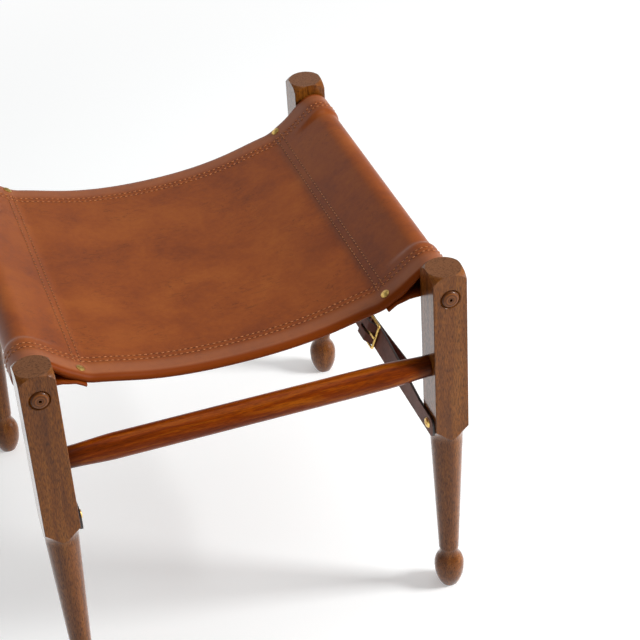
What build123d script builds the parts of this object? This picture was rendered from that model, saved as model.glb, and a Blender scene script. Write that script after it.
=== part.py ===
"""Safari stool: four turned legs, end rails, side stretchers, a leather sling and a buckled strap per end.

Millimetres. Origin on the floor under the middle of the stool, +X along the sling's span,
+Y away from the front, +Z up.
"""

from math import asin, atan2, cos, degrees, radians, sin, tan

from build123d import *
import os

# Overall frame
leg_height = 441.0
seat_span = 435.0  # between the end rails' axes, along X
seat_depth = 449.0  # between the legs' axes along an end rail, along Y
rail_set_down = 29.0  # end rail's axis below the legs' tops
stretcher_drop = 93.0  # side stretcher's axis below the end rail's
strap_drop = 77.0  # strap's middle below the side stretcher's axis

# Legs
leg_side = 38.0
leg_edge_round = 1.0
leg_corner_radius = 27.6  # beyond the square's corners
top_radius = 19.1
top_shoulder_depth = 12.0
top_shoulder_bulge = 1.5
block_length = 200.5
block_shoulder_depth = 21.5  # hollow sweep from the square down to the shaft
shaft_top_radius = 18.2
ankle_radius = 11.5
ankle_height = 55.0
ball_radius = 17.0
ball_height = 25.0
foot_flat_radius = 10.0
instep_height_share = 0.54
instep_radius_share = 0.45
ankle_sweep_share = 0.10
ball_top_bulge = 1.3
ball_bottom_bulge = 1.7

# Fits in the wood
joint_clearance = 0.05
end_gap = 1.0

# End rails
rail_diameter = 29.0
rail_tenon_diameter = 20.0
rail_proud = 2.0
rail_end_round = 4.0
rail_shoulder_round = 2.0
socket_chamfer = 1.6
centre_hole_diameter = 3.2
centre_hole_depth = 6.0

# Side stretchers
stretcher_diameter = 28.0
stretcher_neck_diameter = 23.5
stretcher_taper_length = 52.0
stretcher_tenon_diameter = 20.0
stretcher_tenon_length = 25.0
stretcher_swell_share = 0.4

# Sling
leather = 3.0
seat_width_gap = 3.0  # between the hide's edge and a leg
seat_sag = 43.5
sleeve_clearance = 0.3
sleeve_slope = 33.5
seam_inset = 51.5
seam_flat = 5.5  # straight below the seam, so that the rivets sit flat
hang_x_shares = (0.644, 0.93)
hang_rise_shares = (0.4015, 0.8456)
flap_tail = 9.0
flap_lead = 6.0
layer_bite = 0.4
waist = 6.0
hem_width = 38.0
hem_lift_lead = 12.0  # from the seam to where the hem's extra layer lifts the sleeve

# Rivets
rivet_side_inset = 14.0
rivet_shank_diameter = 3.5
rivet_head_diameter = 10.0
rivet_head_height = 1.7
burr_diameter = 9.0
burr_thickness = 0.9
peen_diameter = 5.2
peen_height = 0.9
rim_share = 0.3

# Straps
strap_width = 25.0
strap_thickness = 3.0
strap_twist = 20.0
strap_leg_overlap = 15.0
strap_end_round = 8.0
strap_set_back = 1.4  # the heel bar lies this far behind the straps' middle, towards the legs
skived_thickness = 2.0
leg_side_run = 26.0  # flat on the leg and just beyond it, before the twist begins
buckle_distance = 198.0  # from the pull strap's leg axis to the heel bar

# Buckle
wire_diameter = 3.0
frame_length = 28.0
frame_side_gap = 1.0
frame_corner_round = 2.4
bar_clearance = 0.08
buckle_clearance = 0.3
leaf_gap = 0.1
main_leaf_set_back = 0.5  # how far the main leaf's back lies behind the bar's axis
leaves_meet = 8.0
return_leaf_length = 34.0
flat_zone = 40.0
ramp_start = 24.5
ramp_end = 14.0
tip_overrun = 5.8
slot_width = 4.0
strap_slot_back = 2.8
strap_slot_front = 21.5
fold_slot_back = 4.5
fold_slot_front = 4.4
tongue_width = 2.6
tongue_thickness = 1.8
tongue_eye_diameter = 6.2
tongue_eye_width = 3.0
tongue_overhang = 2.0
fold_rivet_distance = 12.7
fold_burr_diameter = 7.0
fold_rivet_head_diameter = 6.4
fold_rivet_head_height = 1.1

# Guard behind the buckle
guard_thickness = 2.0
guard_end = 36.0
guard_knee = 9.0
guard_pass = 4.0
guard_lift = 5.0
guard_middle = 48.0
guard_middle_stand_off = 7.6
guard_far = 80.0
guard_far_stand_off = 10.2
guard_tip = 94.0
guard_tip_stand_off = 11.2

# Strap screws
screw_shank_diameter = 4.0
screw_depth = 17.0
screw_head_diameter = 7.6
screw_head_depth = 1.6
screw_dome_height = 0.9
screw_slot_width = 0.9
screw_slot_depth = 1.2
screw_slot_turn = 35.0
screw_tip_length = 4.0
washer_diameter = 12.0
washer_rim_diameter = 9.6
washer_height = 1.9
washer_clearance = 0.05

# Overruns for cuts
cut_overrun = 5.0

rail_height = leg_height - rail_set_down
stretcher_height = rail_height - stretcher_drop
strap_height = stretcher_height - strap_drop
block_bottom = leg_height - block_length
half_span = seat_span / 2
half_depth = seat_depth / 2
half_leg = leg_side / 2
half_seat_width = half_depth - half_leg - seat_width_gap
inner_face = half_span - half_leg
strap_middle = inner_face - strap_thickness / 2
wire_radius = wire_diameter / 2

os.makedirs("parts", exist_ok=True)

ends = {"right": 1, "left": -1}
depths = {"front": -1, "back": 1}


def write(piece, label):
    """Label a finished piece and write its file."""
    piece.part.label = label
    export_step(piece.part, f"parts/{label}.step")


# Legs


def make_leg(toward_end, toward_back):
    """One leg, square above and turned below, with its three holes."""
    axis_x = toward_end * half_span
    axis_y = toward_back * half_depth
    neck = (shaft_top_radius, block_bottom - block_shoulder_depth)
    shaft_rise = (shaft_top_radius - ankle_radius, neck[1] - ankle_height)
    knee = (leg_corner_radius, block_bottom)
    brow = (leg_corner_radius, leg_height - top_shoulder_depth)
    crown = (top_radius, leg_height)
    instep_radius = ankle_radius + (ball_radius - ankle_radius) * instep_radius_share
    instep = (instep_radius, ball_height + (ankle_height - ball_height) * instep_height_share)
    with BuildPart() as leg:
        with BuildSketch(Plane((axis_x, axis_y, 0))):
            RectangleRounded(leg_side, leg_side, leg_edge_round)
        extrude(amount=leg_height)
        turning = Plane((axis_x, axis_y, 0), x_dir=(1, 0, 0), z_dir=(0, -1, 0))
        with BuildSketch(turning):
            with BuildLine():
                Line((0, 0), (foot_flat_radius, 0))
                SagittaArc((foot_flat_radius, 0), (ball_radius, ball_height), -ball_bottom_bulge)
                SagittaArc((ball_radius, ball_height), instep, -ball_top_bulge)
                SagittaArc(instep, (ankle_radius, ankle_height), ball_radius * ankle_sweep_share)
                Line((ankle_radius, ankle_height), neck)
                TangentArc(neck, knee, tangent=shaft_rise)
                Line(knee, brow)
                SagittaArc(brow, crown, -top_shoulder_bulge)
                Line(crown, (0, leg_height))
                Line((0, leg_height), (0, 0))
            make_face()
        revolve(axis=Axis((axis_x, axis_y, 0), (0, 0, 1)), mode=Mode.INTERSECT)
        outer = Plane(
            (axis_x, axis_y + toward_back * half_leg, rail_height), x_dir=(1, 0, 0), z_dir=(0, -toward_back, 0)
        )
        with BuildSketch(outer):
            Circle(rail_tenon_diameter / 2 + joint_clearance)
        extrude(amount=leg_side, mode=Mode.SUBTRACT)
        with BuildSketch(outer):
            Circle(rail_tenon_diameter / 2 + joint_clearance + socket_chamfer)
        extrude(amount=socket_chamfer, taper=45, mode=Mode.SUBTRACT)
        inner = Plane(
            (axis_x - toward_end * half_leg, axis_y, 0), x_dir=(0, 1, 0), z_dir=(toward_end, 0, 0)
        )
        with BuildSketch(inner):
            with Locations(inner.to_local_coords(Vector(axis_x, axis_y, stretcher_height))):
                Circle(stretcher_tenon_diameter / 2 + joint_clearance)
        extrude(amount=stretcher_tenon_length + end_gap, mode=Mode.SUBTRACT)
        with BuildSketch(inner):
            with Locations(inner.to_local_coords(Vector(axis_x, axis_y, strap_height))):
                Circle(screw_shank_diameter / 2 + joint_clearance)
        extrude(amount=screw_depth, mode=Mode.SUBTRACT)
    return leg


for end_name, end in ends.items():
    for depth_name, depth in depths.items():
        write(make_leg(end, depth), f"leg_{depth_name}_{end_name}")


# Rails and stretchers


def make_end_rail(end):
    """Round rail with a through tenon at each end, seated on the legs' inner faces."""
    axis = Axis((end * half_span, 0, rail_height), (0, 1, 0))
    body_end = half_depth - half_leg
    tip = half_depth + half_leg + rail_proud
    body = rail_diameter / 2
    tenon = rail_tenon_diameter / 2
    along = Plane((end * half_span, 0, rail_height), x_dir=(0, 1, 0), z_dir=(1, 0, 0))
    with BuildPart() as rail:
        with BuildSketch(along):
            with BuildLine():
                Line((0, 0), (0, body))
                Line((0, body), (body_end - rail_shoulder_round, body))
                JernArc((body_end - rail_shoulder_round, body), (1, 0), rail_shoulder_round, -90)
                Line((body_end, body - rail_shoulder_round), (body_end, tenon))
                Line((body_end, tenon), (tip - rail_end_round, tenon))
                JernArc((tip - rail_end_round, tenon), (1, 0), rail_end_round, -90)
                Line((tip, tenon - rail_end_round), (tip, 0))
                Line((tip, 0), (0, 0))
            make_face()
            mirror(about=Plane.YZ)
        revolve(axis=axis)
        for side in depths.values():
            with BuildSketch(Plane((end * half_span, side * tip, rail_height), z_dir=(0, -side, 0))):
                Circle(centre_hole_diameter / 2)
            extrude(amount=centre_hole_depth, mode=Mode.SUBTRACT)
    return rail


def make_stretcher(depth):
    """Round stretcher, full over its middle and drawn in to a blind tenon at each end."""
    axis_y = depth * half_depth
    neck_x = half_span - half_leg
    full_x = neck_x - stretcher_taper_length
    body = stretcher_diameter / 2
    neck = stretcher_neck_diameter / 2
    tenon = stretcher_tenon_diameter / 2
    along = Plane((0, axis_y, stretcher_height), x_dir=(1, 0, 0), z_dir=(0, -1, 0))
    with BuildPart() as stretcher:
        with BuildSketch(along):
            with BuildLine():
                Line((0, 0), (0, body))
                Line((0, body), (full_x, body))
                Bezier(
                    (full_x, body),
                    (full_x + stretcher_taper_length * stretcher_swell_share, body),
                    (neck_x, neck),
                )
                Line((neck_x, neck), (neck_x, tenon))
                Line((neck_x, tenon), (neck_x + stretcher_tenon_length, tenon))
                Line((neck_x + stretcher_tenon_length, tenon), (neck_x + stretcher_tenon_length, 0))
                Line((neck_x + stretcher_tenon_length, 0), (0, 0))
            make_face()
            mirror(about=Plane.YZ)
        revolve(axis=Axis((0, axis_y, stretcher_height), (1, 0, 0)))
    return stretcher


for end_name, end in ends.items():
    write(make_end_rail(end), f"end_rail_{end_name}")
for depth_name, depth in depths.items():
    write(make_stretcher(depth), f"side_stretcher_{depth_name}")


# Sling: the hide's middle line seen from the front, in X and Z

sleeve_radius = rail_diameter / 2 + sleeve_clearance + leather / 2
layer_step = leather - layer_bite
slope = radians(sleeve_slope)
crest = (half_span - sleeve_radius * sin(slope), rail_height + sleeve_radius * cos(slope))
seam_x = half_span - seam_inset
seam_z = crest[1] - (crest[0] - seam_x) * tan(slope)
flat_start = (seam_x - seam_flat * cos(slope), seam_z - seam_flat * sin(slope))

seat_low = rail_height - seat_sag
right_knots = [
    (flat_start[0] * x_share, seat_low + (flat_start[1] - seat_low) * rise_share)
    for x_share, rise_share in zip(hang_x_shares, hang_rise_shares)
]
left_knots = [(-x, z) for x, z in reversed(right_knots)]
inner_knots = left_knots + [(0, seat_low)] + right_knots
hang_knots = [(-flat_start[0], flat_start[1])] + inner_knots + [flat_start]
rise = (cos(slope), sin(slope))
fall = (cos(slope), -sin(slope))


def beside_seam(along, below):
    """X and Z of a point near the right seam: along the hide towards the rail, and square below it."""
    return (
        seam_x + along * cos(slope) + below * sin(slope),
        seam_z + along * sin(slope) - below * cos(slope),
    )


def seam_plane(end, side):
    """Plane on the hide's middle at one rivet, its normal up out of the seat."""
    place = (end * seam_x, side * (half_seat_width - rivet_side_inset), seam_z)
    return Plane(place, x_dir=(0, 1, 0), z_dir=(-end * sin(slope), 0, cos(slope)))


def sleeve_route(radius, below):
    """A layer's turn about the right rail, and where it leaves the rail, bends at the seam and ends."""
    bend = beside_seam(flap_lead, below)
    to_rail = Vector(half_span - bend[0], rail_height - bend[1])
    exit_slope = atan2(to_rail.Y, to_rail.X) - asin(radius / to_rail.length)
    leave = (half_span + radius * sin(exit_slope), rail_height - radius * cos(exit_slope))
    turn = sleeve_slope + 180 - degrees(exit_slope)
    return turn, leave, bend, beside_seam(-flap_tail, below)


hem_radius = sleeve_radius + layer_step
hem_crest = (half_span - hem_radius * sin(slope), rail_height + hem_radius * cos(slope))
hem_lift = beside_seam(hem_lift_lead, 0)

with BuildPart() as seat_sling:
    with BuildSketch(Plane.XZ):
        with BuildLine():
            Line((-crest[0], crest[1]), hang_knots[0])
            Spline(*hang_knots, tangents=(fall, rise))
            Line(flat_start, crest)
        trace(line_width=leather)
        turn, leave, bend, tail = sleeve_route(sleeve_radius, layer_step)
        for end in ends.values():
            with BuildLine():
                CenterArc((end * half_span, rail_height), sleeve_radius, 90 + end * sleeve_slope, -end * turn)
                Polyline((end * leave[0], leave[1]), (end * bend[0], bend[1]), (end * tail[0], tail[1]))
            trace(line_width=leather)
    extrude(amount=half_seat_width, both=True)
    hem_knots = [(x, z - layer_step) for x, z in inner_knots]
    turn, leave, bend, tail = sleeve_route(hem_radius, 2 * layer_step)
    for hem_plane in (Plane.XZ.offset(half_seat_width - hem_width), Plane.XZ.offset(-half_seat_width)):
        with BuildSketch(hem_plane):
            with BuildLine():
                Spline(*hem_knots)
            trace(line_width=leather)
            for end in ends.values():
                with BuildLine():
                    Line((end * hem_lift[0], hem_lift[1]), (end * hem_crest[0], hem_crest[1]))
                    CenterArc((end * half_span, rail_height), hem_radius, 90 + end * sleeve_slope, -end * turn)
                    Polyline((end * leave[0], leave[1]), (end * bend[0], bend[1]), (end * tail[0], tail[1]))
                trace(line_width=leather)
        extrude(amount=hem_width)
    with BuildSketch():
        with BuildLine():
            ThreePointArc(
                (-half_span, half_seat_width), (0, half_seat_width - waist), (half_span, half_seat_width)
            )
            Polyline(
                (half_span, half_seat_width),
                (seat_span, half_seat_width),
                (seat_span, -half_seat_width),
                (half_span, -half_seat_width),
            )
            ThreePointArc(
                (half_span, -half_seat_width), (0, waist - half_seat_width), (-half_span, -half_seat_width)
            )
            Polyline(
                (-half_span, -half_seat_width),
                (-seat_span, -half_seat_width),
                (-seat_span, half_seat_width),
                (-half_span, half_seat_width),
            )
        make_face()
    extrude(amount=leg_height, mode=Mode.INTERSECT)
    for end in ends.values():
        for side in depths.values():
            with BuildSketch(seam_plane(end, side)):
                Circle(rivet_shank_diameter / 2 + joint_clearance)
            extrude(amount=leather + 2 * layer_step, both=True, mode=Mode.SUBTRACT)
write(seat_sling, "seat_sling")


# Rivets


def dome_radius(radius, rise):
    """Radius of the sphere that a rivet's or screw's domed end is part of."""
    return (radius**2 + rise**2) / (2 * rise)


def make_rivets(places, above, below, head_diameter, head_height):
    """One rivet on each plane: domed head above it, the peened end under the burr below it."""
    head = head_diameter / 2
    shank = rivet_shank_diameter / 2
    peen = peen_diameter / 2
    under = -below - burr_thickness
    head_rim = above + head_height * rim_share
    peen_rim = under - peen_height * rim_share
    head_curve = dome_radius(head, head_height * (1 - rim_share))
    peen_curve = dome_radius(peen, peen_height * (1 - rim_share))
    with BuildPart() as rivets:
        for place in places:
            with BuildSketch(Plane(place.origin, x_dir=place.x_dir, z_dir=-place.y_dir)):
                with BuildLine():
                    Line((0, under - peen_height), (0, above + head_height))
                    RadiusArc((0, above + head_height), (head, head_rim), head_curve)
                    Polyline((head, head_rim), (head, above), (shank, above), (shank, under), (peen, under))
                    Line((peen, under), (peen, peen_rim))
                    RadiusArc((peen, peen_rim), (0, under - peen_height), peen_curve)
                make_face()
            revolve(axis=Axis(place.origin, place.z_dir))
    return rivets


def make_burrs(places, below, diameter):
    """A flat washer under the leather at each plane, round the rivet's shank."""
    with BuildPart() as burrs:
        for place in places:
            with BuildSketch(place.offset(-below)):
                Circle(diameter / 2)
                Circle(rivet_shank_diameter / 2 + joint_clearance, mode=Mode.SUBTRACT)
            extrude(amount=-burr_thickness)
    return burrs


seam_places = [seam_plane(end, side) for end in ends.values() for side in depths.values()]
seam_below = leather / 2 + 2 * layer_step
write(make_rivets(seam_places, leather / 2, seam_below, rivet_head_diameter, rivet_head_height), "sling_rivets")
write(make_burrs(seam_places, seam_below, burr_diameter), "sling_rivet_burrs")


# Straps. Places on them are u, from the heel bar towards the pull strap's leg, and n, towards
# the stool's middle. Between the legs and the buckle the straps turn by the strap twist.

pull_leg_u = buckle_distance
far_leg_u = buckle_distance - seat_depth
fold_inner = wire_radius + bar_clearance
fold_outer = fold_inner + skived_thickness
pull_behind_n = -(wire_radius + buckle_clearance + strap_thickness / 2)
tip_n = fold_outer + buckle_clearance + strap_thickness / 2
main_leaf_n = strap_thickness / 2 - main_leaf_set_back
return_leaf_front = main_leaf_n - strap_thickness / 2 - leaf_gap
guard_n = return_leaf_front - skived_thickness - leaf_gap - guard_thickness / 2


def heel_bar(end):
    """Middle of the heel bar."""
    return Vector(
        end * (strap_middle + strap_set_back), end * (buckle_distance - half_depth), strap_height
    )


def across(end, twist):
    """Direction towards the stool's middle, square to a strap turned by the twist."""
    return Vector(-end * cos(radians(twist)), 0, sin(radians(twist)))


def buckle_plane(end):
    """Plane with u and n as its axes at the heel bar; its normal runs down the bar."""
    turn = radians(strap_twist)
    return Plane(heel_bar(end), x_dir=(0, -end, 0), z_dir=(-end * sin(turn), 0, -cos(turn)))


def station(end, u, n, twist):
    """Plane of one cross-section of a strap: its x runs through the leather, its y along the width."""
    middle = heel_bar(end) + Vector(0, -end * u, 0) + across(end, twist) * n
    return Plane(middle, x_dir=across(end, twist), z_dir=(0, -end, 0))


def leg_station(end, u):
    """Plane of a cross-section where the strap lies flat on a leg."""
    return station(end, u, strap_set_back, 0)


def screw_plane(end, u):
    """Plane of a strap screw on the leg's face, its normal towards the stool's middle."""
    place = heel_bar(end) + Vector(0, -end * u, 0)
    return Plane((end * inner_face, place.Y, strap_height), x_dir=(0, -end, 0), z_dir=(-end, 0, 0))


def fold_rivet_plane(end):
    """Plane of the fold rivet, at the heel bar's level, its normal towards the stool's middle."""
    middle = heel_bar(end) + Vector(0, end * fold_rivet_distance, 0)
    return Plane(middle, x_dir=(0, -end, 0), z_dir=across(end, strap_twist))


def end_corners(strap, end, toward):
    """The two short edges across the leather at a strap's end; toward is the end's side along Y."""
    return strap.edges().filter_by(Axis.X).sort_by(Axis.Y, reverse=end * toward > 0)[:2]


def make_pull_strap(end):
    """Strap from its leg, behind the frame's nose, up through the frame and over the fold."""
    free_run = (
        leg_station(end, pull_leg_u + strap_leg_overlap),
        leg_station(end, pull_leg_u - leg_side_run),
        station(end, flat_zone, pull_behind_n, strap_twist),
    )
    buckle_run = (
        station(end, flat_zone, pull_behind_n, strap_twist),
        station(end, ramp_start, pull_behind_n, strap_twist),
        station(end, ramp_end, tip_n, strap_twist),
        station(end, -tip_overrun, tip_n, strap_twist),
    )
    with BuildPart() as strap:
        for run in (free_run, buckle_run):
            for place in run:
                with BuildSketch(place):
                    Rectangle(strap_thickness, strap_width)
            loft(ruled=True)
        fillet(end_corners(strap, end, -1), strap_end_round)
        with BuildSketch(screw_plane(end, pull_leg_u)):
            Circle(screw_shank_diameter / 2 + joint_clearance)
        extrude(amount=strap_thickness, mode=Mode.SUBTRACT)
        with BuildSketch(buckle_plane(end)):
            with Locations(((strap_slot_front - strap_slot_back) / 2, (tip_n + pull_behind_n) / 2)):
                Rectangle(strap_slot_front + strap_slot_back, tip_n - pull_behind_n + 2 * cut_overrun)
        extrude(amount=slot_width / 2, both=True, mode=Mode.SUBTRACT)
    return strap


def make_buckle_strap(end):
    """Strap from its leg to the buckle, folded round the heel bar, with a slot for the tongue."""
    main_back = main_leaf_n - strap_thickness / 2
    main_front = main_leaf_n + strap_thickness / 2
    return_back = return_leaf_front - skived_thickness
    free_run = (
        leg_station(end, far_leg_u - strap_leg_overlap),
        leg_station(end, far_leg_u + leg_side_run),
        station(end, -flat_zone, main_leaf_n, strap_twist),
    )
    with BuildPart() as strap:
        for place in free_run:
            with BuildSketch(place):
                Rectangle(strap_thickness, strap_width)
        loft(ruled=True)
        with BuildSketch(buckle_plane(end)):
            with BuildLine():
                Polyline(
                    (0, fold_inner),
                    (-leaves_meet, main_back),
                    (-flat_zone, main_back),
                    (-flat_zone, main_front),
                    (-leaves_meet, main_front),
                    (0, fold_outer),
                )
                ThreePointArc((0, fold_outer), (fold_outer, 0), (0, -fold_outer))
                Polyline(
                    (0, -fold_outer),
                    (-leaves_meet, return_back),
                    (-return_leaf_length, return_back),
                    (-return_leaf_length, return_leaf_front),
                    (-leaves_meet, return_leaf_front),
                    (0, -fold_inner),
                )
                ThreePointArc((0, -fold_inner), (fold_inner, 0), (0, fold_inner))
            make_face()
        extrude(amount=strap_width / 2, both=True)
        fillet(end_corners(strap, end, 1), strap_end_round)
        with BuildSketch(screw_plane(end, far_leg_u)):
            Circle(screw_shank_diameter / 2 + joint_clearance)
        extrude(amount=strap_thickness, mode=Mode.SUBTRACT)
        with BuildSketch(buckle_plane(end)):
            with Locations(((fold_slot_front - fold_slot_back) / 2, 0)):
                Rectangle(fold_slot_front + fold_slot_back, 2 * (fold_outer + cut_overrun))
        extrude(amount=slot_width / 2, both=True, mode=Mode.SUBTRACT)
        with BuildSketch(fold_rivet_plane(end)):
            Circle(rivet_shank_diameter / 2 + joint_clearance)
        extrude(amount=cut_overrun, both=True, mode=Mode.SUBTRACT)
    return strap


def make_buckle_guard(end):
    """Loose tab behind the buckle, riveted to the fold and standing off the pull strap."""
    settled = strap_twist * (pull_leg_u - guard_tip) / (pull_leg_u - flat_zone)
    stations = (
        station(end, -guard_end, guard_n, strap_twist),
        station(end, -guard_knee, guard_n, strap_twist),
        station(end, -guard_pass, -guard_lift, strap_twist),
        station(end, guard_pass, -guard_lift, strap_twist),
        station(end, guard_middle, -guard_middle_stand_off, strap_twist),
        station(end, guard_far, -guard_far_stand_off, (strap_twist + settled) / 2),
        station(end, guard_tip, -guard_tip_stand_off, settled),
    )
    with BuildPart() as guard:
        for place in stations:
            with BuildSketch(place):
                Rectangle(guard_thickness, strap_width)
        loft(ruled=True)
        with BuildSketch(fold_rivet_plane(end)):
            Circle(rivet_shank_diameter / 2 + joint_clearance)
        extrude(amount=cut_overrun, both=True, mode=Mode.SUBTRACT)
    return guard


# Buckle


def make_buckle_frame(end):
    """Rectangular wire frame with round corners."""
    side = strap_width / 2 + frame_side_gap + wire_radius
    place = Plane(heel_bar(end), x_dir=(0, -end, 0), z_dir=across(end, strap_twist))
    with BuildPart() as frame:
        with BuildLine(place):
            ring = FilletPolyline(
                (0, -side),
                (frame_length, -side),
                (frame_length, side),
                (0, side),
                radius=frame_corner_round,
                close=True,
            )
        with BuildSketch(Plane(ring @ 0, z_dir=ring % 0)):
            Circle(wire_radius)
        sweep()
    return frame


def make_buckle_tongue(end):
    """Flat tongue with an eye round the heel bar, its tip on the frame's nose."""
    eye = tongue_eye_diameter / 2
    under = wire_radius + buckle_clearance
    top = under + tongue_thickness
    tip = frame_length + tongue_overhang
    with BuildPart() as tongue:
        with BuildSketch(buckle_plane(end)):
            Circle(eye)
        extrude(amount=tongue_eye_width / 2, both=True)
        with BuildSketch(buckle_plane(end)):
            with BuildLine():
                Polyline(
                    (0, under), (tip, under), (tip, top - tongue_thickness / 2), (tip - tongue_thickness, top), (0, top)
                )
                Line((0, top), (0, under))
            make_face()
        extrude(amount=tongue_width / 2, both=True)
        with BuildSketch(buckle_plane(end)):
            Circle(wire_radius + bar_clearance)
        extrude(amount=strap_width / 2, both=True, mode=Mode.SUBTRACT)
    return tongue


for end_name, end in ends.items():
    write(make_pull_strap(end), f"pull_strap_{end_name}")
    write(make_buckle_strap(end), f"buckle_strap_{end_name}")
    write(make_buckle_guard(end), f"buckle_guard_{end_name}")
    write(make_buckle_frame(end), f"buckle_frame_{end_name}")
    write(make_buckle_tongue(end), f"buckle_tongue_{end_name}")
    rivet_above = main_leaf_n + strap_thickness / 2
    rivet_below = guard_thickness / 2 - guard_n
    fold_place = [fold_rivet_plane(end)]
    fold_rivet = make_rivets(
        fold_place, rivet_above, rivet_below, fold_rivet_head_diameter, fold_rivet_head_height
    )
    write(fold_rivet, f"fold_rivet_{end_name}")
    write(make_burrs(fold_place, rivet_below, fold_burr_diameter), f"fold_rivet_burr_{end_name}")


# Strap screws and their cup washers


def screw_side_view(end, side):
    """Plane through one screw's axis: x out of the leg, y up, from the strap's front face."""
    place = (end * (inner_face - strap_thickness), side * half_depth, strap_height)
    return Plane(place, x_dir=(-end, 0, 0), z_dir=(0, end, 0))


head_top = washer_height
head_radius = screw_head_diameter / 2
shank_radius = screw_shank_diameter / 2
seat_radius = head_radius + washer_clearance
bore_radius = shank_radius + washer_clearance
head_curve = dome_radius(head_radius, screw_dome_height)

with BuildPart() as strap_washers:
    for end in ends.values():
        for side in depths.values():
            with BuildSketch(screw_side_view(end, side)):
                with BuildLine():
                    Polyline(
                        (0, bore_radius),
                        (0, washer_diameter / 2),
                        (washer_height, washer_rim_diameter / 2),
                        (washer_height, seat_radius),
                        (head_top - screw_head_depth, bore_radius),
                        (0, bore_radius),
                    )
                make_face()
            revolve(axis=Axis(screw_side_view(end, side).origin, (end, 0, 0)))
write(strap_washers, "strap_washers")

with BuildPart() as strap_screws:
    for end in ends.values():
        for side in depths.values():
            shank_end = -strap_thickness - screw_depth + end_gap
            view = screw_side_view(end, side)
            with BuildSketch(view):
                with BuildLine():
                    Polyline(
                        (shank_end, 0),
                        (shank_end + screw_tip_length, shank_radius),
                        (head_top - screw_head_depth, shank_radius),
                        (head_top, head_radius),
                    )
                    RadiusArc((head_top, head_radius), (head_top + screw_dome_height, 0), head_curve)
                    Line((head_top + screw_dome_height, 0), (shank_end, 0))
                make_face()
            revolve(axis=Axis(view.origin, (end, 0, 0)))
            slot_bottom = head_top + screw_dome_height - screw_slot_depth
            with BuildSketch(Plane(view.from_local_coords((slot_bottom, 0, 0)), z_dir=(-end, 0, 0))):
                Rectangle(screw_slot_width, screw_head_diameter, rotation=screw_slot_turn)
            extrude(amount=screw_slot_depth, mode=Mode.SUBTRACT)
write(strap_screws, "strap_screws")
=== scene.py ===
"""Dresses the safari stool: walnut frame, saddle-leather sling, sewn hems and buckled end straps.

Sizes in the classes are millimetres, as a maker writes them, and metres() turns them into Blender's units.
The studio's places and the node trees' inputs alone are metres.
The stool stands on z = 0 with the sling's span along X and the end rails along Y.
"""

import logging
import math
from collections.abc import Callable
from dataclasses import dataclass, field
from enum import Enum
from functools import partial
import bmesh
import bpy
import numpy as np
from mathutils import Matrix, Vector


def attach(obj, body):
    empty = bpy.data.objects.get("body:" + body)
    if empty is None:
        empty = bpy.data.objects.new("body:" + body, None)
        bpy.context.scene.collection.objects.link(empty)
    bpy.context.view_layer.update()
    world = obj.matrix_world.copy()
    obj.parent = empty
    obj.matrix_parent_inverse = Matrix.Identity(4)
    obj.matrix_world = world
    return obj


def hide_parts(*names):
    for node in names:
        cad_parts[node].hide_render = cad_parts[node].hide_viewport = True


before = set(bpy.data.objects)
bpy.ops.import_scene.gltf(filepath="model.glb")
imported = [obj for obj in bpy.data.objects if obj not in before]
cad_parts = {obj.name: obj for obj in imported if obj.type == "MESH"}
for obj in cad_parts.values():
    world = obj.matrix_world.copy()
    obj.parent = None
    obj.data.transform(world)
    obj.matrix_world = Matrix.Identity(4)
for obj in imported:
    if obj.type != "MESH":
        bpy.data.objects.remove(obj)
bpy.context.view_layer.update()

log = logging.getLogger("safari_stool")
Point = tuple[float, float, float]
Piece = bpy.types.Object
Material = bpy.types.Material
Socket = bpy.types.NodeSocket
AddNode = Callable[..., Socket]

# Node types that most trees use
MATH, VECTOR_MATH, MAP_RANGE = "ShaderNodeMath", "ShaderNodeVectorMath", "ShaderNodeMapRange"
NOISE, MAPPING, MIX, RAMP = "ShaderNodeTexNoise", "ShaderNodeMapping", "ShaderNodeMix", "ShaderNodeValToRGB"
SPLIT, JOIN, COORDINATE = "ShaderNodeSeparateXYZ", "ShaderNodeCombineXYZ", "ShaderNodeTexCoord"
BUMP, PRINCIPLED = "ShaderNodeBump", "ShaderNodeBsdfPrincipled"
# The Mix node's sockets, which share their names between its data types
FACTOR, FLOAT_A, FLOAT_B, COLOUR_A, COLOUR_B, COLOUR_OUT = 0, 2, 3, 6, 7, 2
# Eases a Map Range node, whose inputs in order are its value, the range it comes from and the one it goes to
SMOOTH = {"interpolation_type": "SMOOTHSTEP"}
BLACK, WHITE = "#000000", "#FFFFFF"


# Units, colours and small helpers


def metres(value: float | np.ndarray | Vector) -> float | np.ndarray | Vector:
    """Millimetres as metres."""
    return value * 0.001


def linear(hex_code: str) -> tuple[float, float, float, float]:
    """Turns an sRGB hex colour into Blender's linear colour.

    Args:
        hex_code: Six hex digits, with or without a leading #.

    Returns:
        Red, green, blue and an alpha of 1, all linear.
    """
    digits = hex_code.lstrip("#")
    channels = [int(digits[i : i + 2], 16) / 255 for i in (0, 2, 4)]
    curve = [c / 12.92 if c <= 0.04045 else ((c + 0.055) / 1.055) ** 2.4 for c in channels]
    return (*curve, 1.0)


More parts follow.
